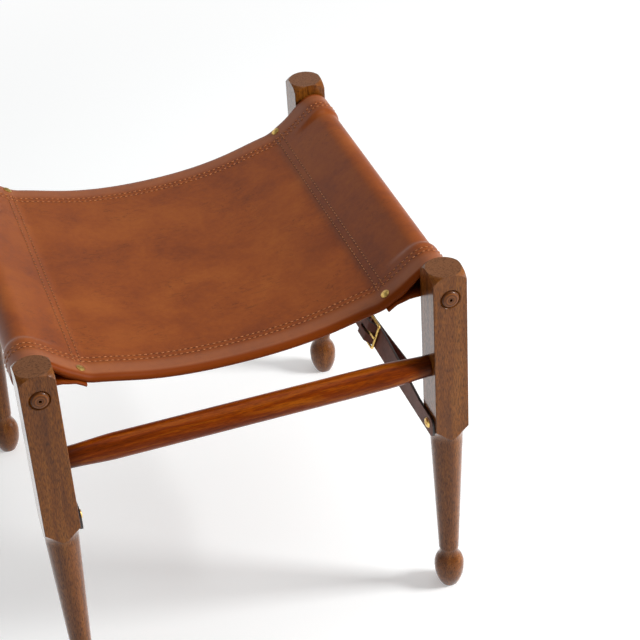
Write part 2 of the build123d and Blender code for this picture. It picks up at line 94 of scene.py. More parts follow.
def add_node(
    tree: bpy.types.NodeTree,
    kind: str,
    inputs: dict[str | int, object] | tuple[object, ...] = (),
    out: str | int = 0,
    stops: tuple[tuple[float, str], ...] = (),
    **settings: object,
) -> Socket | None:
    """Adds one node with its settings, its input values and the links into it.

    Args:
        tree: The shader or geometry tree.
        kind: The node's type name.
        inputs: The socket to link or the value to set, by input name or index, or for the first inputs in order.
        out: The output that is wanted, by name or index.
        stops: A colour ramp's positions and sRGB hex colours.
        **settings: Attributes to set on the node.

    Returns:
        The output, or None where the node has none.
    """
    node = tree.nodes.new(kind)
    for name, value in settings.items():
        setattr(node, name, value)
    for name, value in inputs.items() if isinstance(inputs, dict) else enumerate(inputs):
        if isinstance(value, Socket):
            tree.links.new(value, node.inputs[name])
        else:
            node.inputs[name].default_value = value
    if stops:
        elements = node.color_ramp.elements
        while len(elements) < len(stops):
            elements.new(0.5)
        for element, (position, hex_code) in zip(elements, stops):
            element.position = position
            element.color = linear(hex_code)
    return node.outputs[out] if node.outputs else None


def link(made: Piece) -> Piece:
    """Puts an object into the scene."""
    bpy.context.scene.collection.objects.link(made)
    return made


def mesh_object(
    name: str,
    points: np.ndarray,
    faces: list[tuple[int, ...]],
    materials: list[Material],
    face_slots: list[int] | None = None,
    corner_uv: list[tuple[float, float]] | None = None,
) -> Piece:
    """Makes a smooth-shaded mesh object from points in millimetres.

    Args:
        name: The piece's name.
        points: Points in millimetres, one row each.
        faces: Point indices of each face.
        materials: The piece's materials, in slot order.
        face_slots: The slot of each face, where there is more than one.
        corner_uv: One UV pair for each point, in metres, where a pattern follows the surface.

    Returns:
        The object, at the origin and linked to the scene.
    """
    mesh = bpy.data.meshes.new(name)
    mesh.from_pydata(metres(np.asarray(points, float)).tolist(), [], faces)
    for material in materials:
        mesh.materials.append(material)
    if face_slots is not None:
        mesh.polygons.foreach_set("material_index", face_slots)
    mesh.polygons.foreach_set("use_smooth", [True] * len(mesh.polygons))
    if corner_uv is not None:
        layer = mesh.uv_layers.new(name="hide")
        for loop in mesh.loops:
            layer.data[loop.index].uv = corner_uv[loop.vertex_index]
    mesh.update()
    return link(bpy.data.objects.new(name, mesh))


def bake_modifiers(piece: Piece) -> Piece:
    """Turns a piece's modifiers into its mesh and removes them.

    Args:
        piece: The piece with its modifiers.

    Returns:
        The same piece, with a plain mesh.
    """
    bpy.context.view_layer.update()
    evaluated = piece.evaluated_get(bpy.context.evaluated_depsgraph_get())
    baked = bpy.data.meshes.new_from_object(evaluated)
    piece.modifiers.clear()
    old = piece.data
    piece.data = baked
    bpy.data.meshes.remove(old)
    baked.name = piece.name
    return piece


def round_edges(piece: Piece, width: float, angle: float) -> Piece:
    """Rounds a piece's sharp edges.

    Args:
        piece: The piece.
        width: The bevel's width in millimetres.
        angle: Edges sharper than this many degrees are rounded.

    Returns:
        The same piece, with the rounding in its mesh.
    """
    bevel = piece.modifiers.new("edge", "BEVEL")
    bevel.width = metres(width)
    bevel.segments = 2
    bevel.limit_method = "ANGLE"
    bevel.angle_limit = math.radians(angle)
    bevel.harden_normals = False
    return bake_modifiers(piece)


def clamped_spline(knots: list[tuple[float, float]], first: float, last: float, at: np.ndarray) -> np.ndarray:
    """Cubic spline through knots, with its slope given at both ends.

    Args:
        knots: Pairs of x and z, in order of x.
        first: Slope at the first knot.
        last: Slope at the last knot.
        at: The x values to evaluate.

    Returns:
        The z values.
    """
    x, z = (np.array(column, float) for column in zip(*knots))
    count = len(x)
    step = np.diff(x)
    matrix, right = np.zeros((count, count)), np.zeros(count)
    matrix[0, 0] = matrix[-1, -1] = 1
    right[0], right[-1] = first, last
    for i in range(1, count - 1):
        matrix[i, i - 1 : i + 2] = 1 / step[i - 1], 2 / step[i - 1] + 2 / step[i], 1 / step[i]
        right[i] = 3 * ((z[i] - z[i - 1]) / step[i - 1] ** 2 + (z[i + 1] - z[i]) / step[i] ** 2)
    slope = np.linalg.solve(matrix, right)
    k = np.clip(np.searchsorted(x, at) - 1, 0, count - 2)
    t = (at - x[k]) / step[k]
    return (
        z[k] * (1 + 2 * t) * (1 - t) ** 2
        + slope[k] * step[k] * t * (1 - t) ** 2
        + z[k + 1] * t * t * (3 - 2 * t)
        + slope[k + 1] * step[k] * t * t * (t - 1)
    )


def smoothstep(value: float) -> float:
    """Eases 0 to 1, flat at both ends."""
    t = np.clip(value, 0, 1)
    return float(t * t * (3 - 2 * t))


def blend(low: float, high: float, share: float) -> float:
    """Goes from one value to another by a share."""
    return low * (1 - share) + high * share


# Finishes


class Grain(Enum):
    """The direction that a wooden piece's grain runs in, as the turn that lays the pattern along it."""

    UPRIGHT = (0.0, math.pi / 2, 0.0)
    ALONG_X = (0.0, 0.0, 0.0)

    @property
    def axis(self) -> Point:
        """The direction along the grain."""
        return (0.0, 0.0, 1.0) if self is Grain.UPRIGHT else (1.0, 0.0, 0.0)


class Finish:
    """A named material whose own class lays out its shader."""

    name: str

    def build(self) -> Material:
        """Builds the material."""
        material = bpy.data.materials.new(self.name)
        material.use_nodes = True
        material.node_tree.nodes.clear()
        node = partial(add_node, material.node_tree)
        place = node(COORDINATE, out="Object")
        node("ShaderNodeOutputMaterial", {"Surface": self.shader(node, place)})
        return material

    def shader(self, node: AddNode, place: Socket) -> Socket:
        """Lays out the shader; each finish has its own."""
        raise NotImplementedError


@dataclass(frozen=True)
class OiledWood(Finish):
    """Stained hardwood under oil: fine open pores in streaks, growth bands and a soft gloss."""

    name: str
    dark: str
    middle: str
    light: str
    grain: Grain
    roughness: float = 0.4
    pore_roughness: float = 0.16
    specular: float = 0.1
    coat: float = 1.0
    coat_ior: float = 1.25
    coat_roughness: float = 0.14
    pore_length: float = 6.0
    pore_width: float = 0.6  # true pores are finer and wouldn't show, so they are drawn coarser
    pore_depth: float = 0.05
    pore_shade: float = 0.47
    between_pores: float = 1.1
    band_width: float = 10.0
    band_squeeze: float = 0.06
    end_dark: str = "#5A3820"
    end_light: str = "#7A4E30"
    end_speckle: float = 1.7
    # Painted shade at a rod's ends where it meets the leg, partly gathered stain: it starts this far out, eases in
    # over the fade and darkens by the last factor
    dark_from: float = 0.0
    dark_fade: float = 26.0
    dark_shade: float = 0.42

    def shader(self, node: AddNode, place: Socket) -> Socket:
        """Lays out the pores, the bands and the gloss.

        Args:
            node: Adds a node to the material.
            place: The point on the piece.

        Returns:
            The shader.
        """
        turned = node(MAPPING, {"Vector": place, "Rotation": self.grain.value})
        long, fine, band = (1 / metres(size) for size in (self.pore_length, self.pore_width, self.band_width))
        pores_at = node(MAPPING, {"Vector": turned, "Scale": (long, fine, fine)})
        pores = node(NOISE, {"Vector": pores_at, "Scale": 1.0, "Detail": 2.0, "Roughness": 0.55})
        bands_at = node(MAPPING, {"Vector": turned, "Scale": (band * self.band_squeeze, band, band)})
        growth = {"Scale": 1.0, "Detail": 5.0, "Roughness": 0.62, "Distortion": 0.6}
        bands = node(NOISE, {"Vector": bands_at, **growth})
        figure = node(RAMP, {"Fac": bands}, stops=((0.28, self.dark), (0.5, self.middle), (0.74, self.light)))
        streaks = node(RAMP, {"Fac": pores}, stops=((0.4, BLACK), (0.54, WHITE)))
        streak = node("ShaderNodeRGBToBW", {"Color": streaks})
        depth = node(MAP_RANGE, (streak, 0, 1, self.pore_shade, self.between_pores))
        colour = node(VECTOR_MATH, {0: figure, "Scale": depth}, operation="SCALE")
        # Painted shade at the rod's ends, partly stain, where they meet the legs
        if self.dark_from:
            colour = self.with_dark_ends(node, place, colour)
        gloss = (streak, 0, 1, self.roughness + self.pore_roughness, self.roughness)
        return node(
            PRINCIPLED,
            {
                "Base Color": self.with_end_grain(node, place, colour),
                "Roughness": node(MAP_RANGE, gloss),
                "Normal": node(BUMP, {"Height": streak, "Strength": 0.6, "Distance": metres(self.pore_depth)}),
                "IOR": 1.5,
                "Specular IOR Level": self.specular,
                "Coat Weight": self.coat,
                "Coat IOR": self.coat_ior,
                "Coat Roughness": self.coat_roughness,
            },
        )

    def with_dark_ends(self, node: AddNode, place: Socket, colour: Socket) -> Socket:
        """Paints shade on the ends of a rod where it meets the leg, with some stain gathered there too.

        Args:
            node: Adds a node to the material.
            place: The point on the piece.
            colour: The colour of the rod.

        Returns:
            The colour with both ends in it.
        """
        off = node(MATH, (node(SPLIT, (place,), "X"),), operation="ABSOLUTE")
        start, full = metres(self.dark_from - self.dark_fade), metres(self.dark_from)
        shade = node(MAP_RANGE, (off, start, full, 1, self.dark_shade), **SMOOTH)
        return node(VECTOR_MATH, {0: colour, "Scale": shade}, operation="SCALE")

    def with_end_grain(self, node: AddNode, place: Socket, colour: Socket) -> Socket:
        """Puts darker, speckled end grain on the faces that the grain runs out of.

        Args:
            node: Adds a node to the material.
            place: The point on the piece.
            colour: The colour of the other faces.

        Returns:
            The colour of the whole piece.
        """
        normal = node(COORDINATE, out="Normal")
        along = node(VECTOR_MATH, (normal, self.grain.axis), "Value", operation="DOT_PRODUCT")
        facing = node(MATH, (along,), operation="ABSOLUTE")
        cut = node(MAP_RANGE, (facing, 0.72, 0.95), **SMOOTH)
        speckles = {"Vector": place, "Scale": 1 / metres(self.end_speckle), "Detail": 3.0, "Roughness": 0.6}
        speckle = node(NOISE, speckles)
        ends = node(RAMP, {"Fac": speckle}, stops=((0.36, self.end_dark), (0.52, self.end_light)))
        return node(MIX, {FACTOR: cut, COLOUR_A: colour, COLOUR_B: ends}, COLOUR_OUT, data_type="RGBA")


@dataclass(frozen=True)
class TurnedEnd(Finish):
    """Rail turned round its centre: growth rings show on its domed ends, round a black spot of painted shade for the
    lathe's centre hole.
    """

    name: str
    early: str
    late: str
    # The colour of the painted shade in the lathe's centre hole
    pith: str
    centre_x: float
    centre_z: float
    ring_width: float = 3.0
    ring_depth: float = 0.06
    pith_radius: float = 1.6
    waver: float = 0.7
    waver_spacing: float = 6.0
    roughness: float = 0.34

    def shader(self, node: AddNode, place: Socket) -> Socket:
        """Lays out the rings and the painted shade of the centre hole.

        Args:
            node: Adds a node to the material.
            place: The point on the piece.

        Returns:
            The shader.
        """
        split = node(SPLIT, {"Vector": place}).node.outputs
        side = node(MATH, (split["X"],), operation="ABSOLUTE")
        off_x = node(MATH, (side, metres(self.centre_x)), operation="SUBTRACT")
        off_z = node(MATH, (split["Z"], metres(self.centre_z)), operation="SUBTRACT")
        away = node(VECTOR_MATH, (node(JOIN, (off_x, off_z)),), "Value", operation="LENGTH")
        drift = node(NOISE, {"Vector": place, "Scale": 1 / metres(self.waver_spacing), "Detail": 3.0})
        radius = node(MATH, (drift, metres(self.waver) * 2, away), operation="MULTIPLY_ADD")
        phase = node(MATH, (radius, 2 * math.pi / metres(self.ring_width)), operation="MULTIPLY")
        wave = node(MATH, (phase,), operation="SINE")
        level = node(MAP_RANGE, (wave, -1, 1))
        rings = node(RAMP, {"Fac": level}, stops=((0.25, self.early), (0.85, self.late)))
        # A black disc of painted shade stands in for the lathe's centre hole
        pith = metres(self.pith_radius)
        heart = node(MAP_RANGE, (away, pith * 0.6, pith * 1.5, 1, 0), **SMOOTH)
        mixed = {FACTOR: heart, COLOUR_A: rings, COLOUR_B: linear(self.pith)}
        return node(
            PRINCIPLED,
            {
                "Base Color": node(MIX, mixed, COLOUR_OUT, data_type="RGBA"),
                "Roughness": node(MAP_RANGE, (level, 0, 1, self.roughness + 0.1, self.roughness)),
                "Normal": node(BUMP, {"Height": level, "Strength": 0.5, "Distance": metres(self.ring_depth)}),
                "IOR": 1.5,
                "Specular IOR Level": 0.2,
                "Coat Weight": 0.1,
                "Coat Roughness": 0.15,
            },
        )


@dataclass(frozen=True)
class SaddleLeather(Finish):
    """Vegetable-tanned leather, waxed by hand: cloudy colour, fine grain, and painted shade in its creases and
    pressed grooves.
    """

    name: str
    dark: str
    middle: str
    light: str
    cloud: float = 70.0
    fleck: float = 7.0
    fleck_share: float = 0.3
    grain: float = 0.9  # true grain is finer and wouldn't show, so it is drawn coarser
    grain_depth: float = 0.035
    # Fine wrinkles drawn only as dark lines of painted shade, with no bump
    crease_length: float = 34.0
    crease_width: float = 7.0
    crease_patch: float = 55.0
    crease_fineness: float = 0.022
    crease_shade: float = 0.66
    roughness: float = 0.46
    specular: float = 0.1
    coat: float = 0.75
    coat_ior: float = 1.3
    coat_roughness: float = 0.42
    hem_rows: tuple[float, ...] = ()
    cross_rows: tuple[float, ...] = ()
    cross_reach: float = 0.0
    groove_width: float = 1.9
    groove_depth: float = 6.0  # in depths of the grain
    groove_shade: float = 0.6
    rolled_edge: float = 0.0
    rolled_from: float = 8.0
    rolled_full: float = 4.0
    # Painted shade on the hem's folded roll, a darker, redder brown than the seat
    rolled: str = "#7C3400"
    rolled_coat: float = 0.05
    # A pale band of painted sheen on the hem beyond the stitch rows
    rub: float = 0.24
    rubbed_from: float = 27.0
    rubbed_full: float = 16.0
    rubbed: str = "#B07C60"

    def shader(self, node: AddNode, place: Socket) -> Socket:
        """Lays out the clouds and the grain, and on a sewn hide the grooves with painted shade in them, a painted
        sheen on the hem and painted shade on its rolled edge.

        Args:
            node: Adds a node to the material.
            place: The point on the piece.

        Returns:
            The shader.
        """
        soft = {"Scale": 1 / metres(self.cloud), "Detail": 6.0, "Roughness": 0.58, "Distortion": 0.4}
        clouds = node(NOISE, {"Vector": place, **soft})
        sharp = {"Scale": 1 / metres(self.fleck), "Detail": 5.0, "Roughness": 0.7}
        flecks = node(NOISE, {"Vector": place, **sharp})
        mixed = node(MIX, {FACTOR: self.fleck_share, FLOAT_A: clouds, FLOAT_B: flecks}, data_type="FLOAT")
        tanned = node(RAMP, {"Fac": mixed}, stops=((0.3, self.dark), (0.5, self.middle), (0.7, self.light)))
        # The wrinkles darken the colour as painted shade
        colour = node(VECTOR_MATH, {0: tanned, "Scale": self.creases(node, place)}, operation="SCALE")
        pebbles = {"Vector": place, "Scale": 1 / metres(self.grain), "Randomness": 1.0}
        cells = node("ShaderNodeTexVoronoi", pebbles, feature="DISTANCE_TO_EDGE")
        height = node(MAP_RANGE, (cells, 0, 0.25))
        coat = self.coat
        if self.hem_rows:
            groove, rolled = self.groove(node), self.roll_mask(node)
            coat = node(MAP_RANGE, (rolled, 0, 1, coat, coat * self.rolled_coat))
            deep = node(MATH, (groove, self.groove_depth), operation="MULTIPLY")
            height = node(MATH, (height, deep), operation="SUBTRACT")
            # Painted shade in the pressed grooves, on top of their bump
            shade = node(MAP_RANGE, (groove, 0, 1, 1, self.groove_shade))
            pressed = node(VECTOR_MATH, {0: colour, "Scale": shade}, operation="SCALE")
            colour = self.with_burnished_roll(node, pressed, rolled)
        return node(
            PRINCIPLED,
            {
                "Base Color": colour,
                "Roughness": node(MAP_RANGE, (mixed, 0.3, 0.7, self.roughness - 0.05, self.roughness + 0.08)),
                "Normal": node(BUMP, {"Height": height, "Strength": 0.5, "Distance": metres(self.grain_depth)}),
                "IOR": 1.48,
                "Specular IOR Level": self.specular,
                "Coat Weight": coat,
                "Coat IOR": self.coat_ior,
                "Coat Roughness": self.coat_roughness,
            },
        )

    def creases(self, node: AddNode, place: Socket) -> Socket:
        """Paints shade into the fine growth wrinkles of a hide, as dark lines in patches and mostly along the seat.

        Args:
            node: Adds a node to the material.
            place: The point on the piece.

        Returns:
            A factor for the colour, 1 outside the creases.
        """
        length, width = 1 / metres(self.crease_length), 1 / metres(self.crease_width)
        stretched = node(MAPPING, {"Vector": place, "Scale": (length, width, width)})
        wrinkles = {"Scale": 1.0, "Detail": 3.0, "Roughness": 0.55, "Distortion": 0.8}
        off = node(MATH, (node(NOISE, {"Vector": stretched, **wrinkles}), 0.5), operation="SUBTRACT")
        away = node(MATH, (off,), operation="ABSOLUTE")
        line = node(MAP_RANGE, (away, 0, self.crease_fineness, 1, 0), **SMOOTH)
        patches = node(NOISE, {"Vector": place, "Scale": 1 / metres(self.crease_patch), "Detail": 2.0})
        here = node(MAP_RANGE, (patches, 0.47, 0.62))
        depth = node(MATH, (line, here), operation="MULTIPLY")
        return node(MAP_RANGE, (depth, 0, 1, 1, self.crease_shade))

    def off_centre(self, node: AddNode) -> Socket:
        """Measures how far a point lies from the hide's middle line, in the hide's own UV map."""
        across = node(SPLIT, {"Vector": node("ShaderNodeUVMap", uv_map="hide")}, "Y")
        return node(MATH, (across,), operation="ABSOLUTE")

    def roll_mask(self, node: AddNode) -> Socket:
        """Marks the folded edge of the hem, 1 on the roll and 0 on the flat hide."""
        start, full = metres(self.rolled_edge - self.rolled_from), metres(self.rolled_edge - self.rolled_full)
        return node(MAP_RANGE, (self.off_centre(node), start, full), **SMOOTH)

    def with_burnished_roll(self, node: AddNode, colour: Socket, rolled: Socket) -> Socket:
        """Paints a pale sheen on the hem beyond its stitch rows and painted shade on its folded edge.

        Args:
            node: Adds a node to the material.
            colour: The hide's colour.
            rolled: The mask of the folded edge.

        Returns:
            The colour with the hem in it.
        """
        start, full = metres(self.rolled_edge - self.rubbed_from), metres(self.rolled_edge - self.rubbed_full)
        beyond_rows = node(MAP_RANGE, (self.off_centre(node), start, full, 0, self.rub), **SMOOTH)
        # Mixes in the painted sheen beyond the rows, then the painted shade on the roll
        for mask, tone in ((beyond_rows, self.rubbed), (rolled, self.rolled)):
            mixed = {FACTOR: mask, COLOUR_A: colour, COLOUR_B: linear(tone)}
            colour = node(MIX, mixed, COLOUR_OUT, data_type="RGBA")
        return colour

    def groove(self, node: AddNode) -> Socket:
        """Marks the pressed lines that the stitches lie in, from the hide's own UV map.

        Args:
            node: Adds a node to the material.

        Returns:
            A value that is 1 in a groove's middle and 0 beside it.
        """
        split = node(SPLIT, {"Vector": node("ShaderNodeUVMap", uv_map="hide")}).node.outputs
        across, along = (node(MATH, (split[axis],), operation="ABSOLUTE") for axis in ("Y", "X"))
        inner, outer = metres(self.cross_reach - 1.0), metres(self.cross_reach + 1.0)
        inside_hems = node(MAP_RANGE, (across, inner, outer, 1, 0))
        found = None
        for size, rows, mask in ((across, self.hem_rows, None), (along, self.cross_rows, inside_hems)):
            for row in rows:
                off = node(MATH, (size, metres(row)), operation="SUBTRACT")
                away = node(MATH, (off,), operation="ABSOLUTE")
                line = node(MAP_RANGE, (away, 0, metres(self.groove_width), 1, 0), **SMOOTH)
                if mask is not None:
                    line = node(MATH, (line, mask), operation="MULTIPLY")
                found = line if found is None else node(MATH, (found, line), operation="MAXIMUM")
        return found


@dataclass(frozen=True)
class PlainFinish(Finish):
    """A finish with one fine mottling, for edges, thread and brass."""

    name: str
    dark: str
    light: str
    mottle: float
    roughness: float
    metallic: float = 0.0
    bump: float = 0.01

    def shader(self, node: AddNode, place: Socket) -> Socket:
        """Lays out the mottling.

        Args:
            node: Adds a node to the material.
            place: The point on the piece.

        Returns:
            The shader.
        """
        mottle = node(NOISE, {"Vector": place, "Scale": 1 / metres(self.mottle), "Detail": 4.0, "Roughness": 0.6})
        return node(
            PRINCIPLED,
            {
                "Base Color": node(RAMP, {"Fac": mottle}, stops=((0.35, self.dark), (0.62, self.light))),
                "Roughness": node(MAP_RANGE, (mottle, 0, 1, self.roughness + 0.08, self.roughness - 0.05)),
                "Normal": node(BUMP, {"Height": mottle, "Strength": 0.4, "Distance": metres(self.bump)}),
                "Metallic": self.metallic,
            },
        )


@dataclass(frozen=True)
class SeamlessPaper(Finish):
    """Matt paper sweep: it shows near white, keeps the stool's shadow and fades to pure white far off."""

    name: str = "seamless_paper"
    colour: str = "#E1E3E3"
    glow: float = 0.34
    mirrored_glow: float = 0.6
    fade_start: float = 750.0
    fade_end: float = 1900.0

    def shader(self, node: AddNode, place: Socket) -> Socket:
        """Lays out the paper, its glow for the camera and the white beyond it.

        Args:
            node: Adds a node to the material.
            place: The point on the floor.

        Returns:
            The shader.
        """
        paper = node("ShaderNodeBsdfDiffuse", {"Color": linear(self.colour)})
        rays = node("ShaderNodeLightPath").node.outputs
        seen, mirrored = rays["Is Camera Ray"], rays["Is Glossy Ray"]
        direct = node(MATH, (seen, self.glow), operation="MULTIPLY")
        strength = node(MATH, (mirrored, self.mirrored_glow, direct), operation="MULTIPLY_ADD")
        glow = node("ShaderNodeEmission", {"Color": linear(WHITE), "Strength": strength})
        near = node("ShaderNodeAddShader", {0: paper, 1: glow})
        away = node(VECTOR_MATH, (place,), "Value", operation="LENGTH")
        far = node(MAP_RANGE, (away, metres(self.fade_start), metres(self.fade_end)), **SMOOTH)
        looked_at = node(MATH, (seen, mirrored), operation="MAXIMUM")
        white = node(MATH, (far, looked_at), operation="MULTIPLY")
        beyond = node("ShaderNodeEmission", {"Color": linear(WHITE)})
        return node("ShaderNodeMixShader", {0: white, 1: near, 2: beyond})


# The sling


@dataclass
class Sling:
    """One hide hung over both end rails, hemmed along its sides and sewn into a sleeve at each end."""

    span: float = 435.0
    rail_height: float = 412.0
    half_width: float = 202.5
    waist: float = 6.0
    leather: float = 3.0
    drawn_leather: float = 2.7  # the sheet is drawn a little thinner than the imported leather
    layer: float = 2.6  # from the hide's middle to the hem's folded layer
    edge_round: float = 0.7
    sag: float = 43.5
    slope: float = 33.5
    sleeve_radius: float = 16.3
    sleeve_ease: float = 12.0
    seam_inset: float = 51.5
    seam_flat: float = 5.5
    # Two knots of the seat's curve, as shares of the way out and up to the seam
    hang: tuple[tuple[float, float], ...] = ((0.644, 0.4015), (0.93, 0.8456))
    flap_lead: float = 6.0
    flap_tail: float = 9.0
    flap_ease: float = 14.0
    flap_curl: float = 4.2
    curl_inset: float = 2.0
    curl_width: float = 9.0
    hem: float = 40.0
    hem_ease: float = 10.0
    hem_margin: float = 12.0
    roll_reach: float = 8.0
    roll_depth: float = 9.0
    roll_close: float = 18.0
    sleeve_roll_depth: float = 3.6
    sleeve_roll_share: float = 0.55
    flap_reach: float = 0.8
    flap_depth: float = 0.5
    flap_under: float = 0.35
    # Steps across half the hide: the seat, the hem, the turn of its roll and the way back beneath
    columns: tuple[int, int, int, int] = (22, 27, 12, 16)
    row_insets: tuple[float, float] = (26.5, 33.5)
    row_short: float = 4.0
    under_row_short: float = 9.0
    cross_offsets: tuple[float, float] = (-4.0, 4.0)
    cross_end_inset: float = 24.0
    cross_hem_margin: float = 5.0
    step: float = 2.5
    row_step: float = 2.0
    stitch_pitch: float = 6.2
    stitch_length: float = 4.3
    thread_width: float = 1.25
    thread_sink: float = 0.1
    line: np.ndarray = field(init=False)
    along: np.ndarray = field(init=False)
    marks: dict[str, float] = field(init=False)

    def __post_init__(self) -> None:
        """Lays out the hide's middle line from the seat's middle to the end of the right flap."""
        slope = math.radians(self.slope)
        rise = np.array([math.cos(slope), math.sin(slope)])
        under = np.array([math.sin(slope), -math.cos(slope)])
        half = self.span / 2
        centre = np.array([half, self.rail_height])
        crest = centre + self.sleeve_radius * np.array([-math.sin(slope), math.cos(slope)])
        seam_x = half - self.seam_inset
        seam = np.array([seam_x, crest[1] - (crest[0] - seam_x) * math.tan(slope)])
        flat = seam - self.seam_flat * rise
        low = self.rail_height - self.sag
        knots = [(0.0, low), *((flat[0] * x, low + (flat[1] - low) * z) for x, z in self.hang), tuple(flat)]
        xs = np.linspace(0, flat[0], 120)
        panel = np.stack([xs, clamped_spline(knots, 0.0, math.tan(slope), xs)], axis=1)
        bend = seam + self.flap_lead * rise + self.layer * under
        end = seam - self.flap_tail * rise + self.layer * under
        to_rail = centre - bend
        leave = math.atan2(to_rail[1], to_rail[0]) - math.asin(self.sleeve_radius / np.hypot(*to_rail))
        angles = np.linspace(math.pi / 2 + slope, -math.pi / 2 + leave, 60)
        wrap = centre + self.sleeve_radius * np.stack([np.cos(angles), np.sin(angles)], axis=1)
        route = np.concatenate([panel, wrap, [bend, end]])
        length = np.concatenate([[0], np.cumsum(np.hypot(*np.diff(route, axis=0).T))])
        count = int(round(length[-1] / self.step))
        self.along = np.linspace(0, length[-1], count + 1)
        line = np.stack([np.interp(self.along, length, route[:, k]) for k in (0, 1)], axis=1)
        kernel = np.array([1, 2, 1]) / 4
        for _ in range(3):
            # The left half mirrors the right one, and the flap's end goes straight on
            padded = np.concatenate([line[1:2] * [-1, 1], line, 2 * line[-1:] - line[-2:-1]])
            line = np.stack([np.convolve(padded[:, k], kernel, "valid") for k in (0, 1)], axis=1)
        self.line = line
        self.marks = {
            "seam": length[len(panel) - 1] + self.seam_flat,
            "crest": length[len(panel)],
            "exit": length[len(panel) + len(wrap) - 1],
            "bend": length[-2],
            "end": length[-1],
        }

    def frame_at(self, s: float) -> tuple[np.ndarray, np.ndarray]:
        """Point on the hide's middle line and the direction to its flesh side.

        Args:
            s: Distance along the hide from the seat's middle, negative towards the left end.

        Returns:
            The point and the direction, each as x and z.
        """
        mirror = [-1.0 if s < 0 else 1.0, 1.0]
        at = abs(s)
        point, ahead, behind = (
            np.array([np.interp(where, self.along, self.line[:, k]) for k in (0, 1)])
            for where in (at, min(at + 1, self.along[-1]), max(at - 1, 0))
        )
        if at < 1:
            behind = ahead * [-1, 1]
        tangent = (ahead - behind) / np.hypot(*(ahead - behind))
        return point * mirror, np.array([tangent[1], -tangent[0]]) * mirror

    def edge_at(self, s: float) -> float:
        """Half the hide's width at a distance along it."""
        x = abs(self.frame_at(s)[0][0])
        drawn_in = self.waist * (1 - (x / (self.span / 2)) ** 2) if abs(s) < self.marks["crest"] else 0.0
        return self.half_width - drawn_in

    def share(self, s: float, first: str, last: str, ease: float) -> float:
        """How far a place lies on the way between two marks, eased, from 0 to 1."""
        start = self.marks[first] + ease
        return smoothstep((abs(s) - start) / (self.marks[last] - start))

    def in_sleeve(self, s: float) -> float:
        """How far the hide is a sleeve round the rail, from 0 in the seat to 1."""
        return self.share(s, "seam", "crest", self.sleeve_ease)

    def in_flap(self, s: float) -> float:
        """How far the hide is the flap beneath the seat, from 0 to 1."""
        return self.share(s, "exit", "bend", self.flap_ease)

    def outward(self, s: float, inset: float) -> float:
        """How far the grain layer stands out of the plain hide.

        Args:
            s: Distance along the hide.
            inset: Distance in from the hide's edge.

        Returns:
            Millimetres away from the flesh side: room for the hem's second layer round the rail and in the flap.
        """
        hem = 1 - smoothstep((inset - self.hem) / self.hem_ease)
        curl = 1 - smoothstep((inset - self.curl_inset) / self.curl_width)
        flap = self.in_flap(s)
        return self.layer * hem * max(self.in_sleeve(s) * (1 - flap), flap) + self.flap_curl * curl * flap

    def section(self, s: float) -> list[Point]:
        """Half of the hide's cross-section, from the middle to the hem's raw edge beneath.

        Args:
            s: Distance along the hide.

        Returns:
            Triples: y, depth towards the flesh side, and the distance across the cut hide.
        """
        edge = self.edge_at(s) - self.leather / 2
        sleeve, flap = self.in_sleeve(s), self.in_flap(s)
        depth = blend(blend(self.roll_depth, self.sleeve_roll_depth, sleeve), self.flap_depth, flap)
        reach = blend(self.roll_reach * (1 - self.sleeve_roll_share * sleeve), self.flap_reach, flap)
        under = blend(self.layer, self.flap_under, flap)
        start = edge - self.hem - self.hem_margin
        seat, hem, turns, back = self.columns
        row = [(start * k / seat, 0.0) for k in range(seat)]
        row += [(start + (edge - reach - start) * k / (hem - 1), 0.0) for k in range(hem)]
        for k in range(1, turns):
            turn = math.pi * k / turns
            row.append((edge - reach + reach * math.sin(turn), depth * (1 - math.cos(turn)) / 2))
        for k in range(back):
            inward = (self.hem - reach) * k / (back - 1)
            row.append((edge - reach - inward, blend(depth, under, smoothstep(inward / self.roll_close))))
        travel = np.concatenate([[0], np.cumsum([math.dist(a, b) for a, b in zip(row, row[1:])])]).tolist()
        return [(y, d - self.outward(s, edge - y), w) for (y, d), w in zip(row, travel)]

    def place(self, s: float, y: float, depth: float) -> np.ndarray:
        """Point in the stool from a place in the hide.

        Args:
            s: Distance along the hide.
            y: Place across the stool.
            depth: Distance towards the flesh side.

        Returns:
            The point in millimetres.
        """
        point, inward = self.frame_at(s)
        x, z = point + inward * depth
        return np.array([x, y, z])

    def build(self, hide: Material, raw_edge: Material) -> Piece:
        """Builds the hide as one folded sheet.

        Args:
            hide: The leather's material.
            raw_edge: The cut edges' material.

        Returns:
            The finished piece.
        """
        stations = np.concatenate([-self.along[:0:-1], self.along]).tolist()
        points, uv = [], []
        for s in stations:
            half, edge = self.section(s), self.edge_at(s)
            for y, depth, travel in [(-y, d, -w) for y, d, w in reversed(half[1:])] + half:
                points.append(self.place(s, y, depth))
                off_centre = math.copysign(self.half_width + (abs(travel) - edge), travel)
                uv.append((metres(s), metres(off_centre)))
        across = len(points) // len(stations)
        starts = (i * across + j for i in range(len(stations) - 1) for j in range(across - 1))
        faces = [(a, a + across, a + across + 1, a + 1) for a in starts]
        piece = mesh_object("sling_hide", np.array(points), faces, [hide, raw_edge], corner_uv=uv)
        solid = piece.modifiers.new("thickness", "SOLIDIFY")
        solid.thickness = metres(self.drawn_leather)
        solid.offset = 0.0
        solid.use_even_offset = True
        solid.material_offset_rim = 1
        bake_modifiers(piece)
        return round_edges(piece, self.edge_round, 55)

    def stitch_at(self, s: float, y: float, depth: float, under: bool) -> tuple[np.ndarray, np.ndarray]:
        """Point on a row of stitches.

        Args:
            s: Distance along the hide.
            y: Place across the stool.
            depth: Distance towards the flesh side.
            under: Whether the row lies on the flesh side.

        Returns:
            The point and the direction that the thread faces there.
        """
        _, inward = self.frame_at(s)
        x, z = inward if under else -inward
        return self.place(s, y, depth), np.array([x, 0, z])

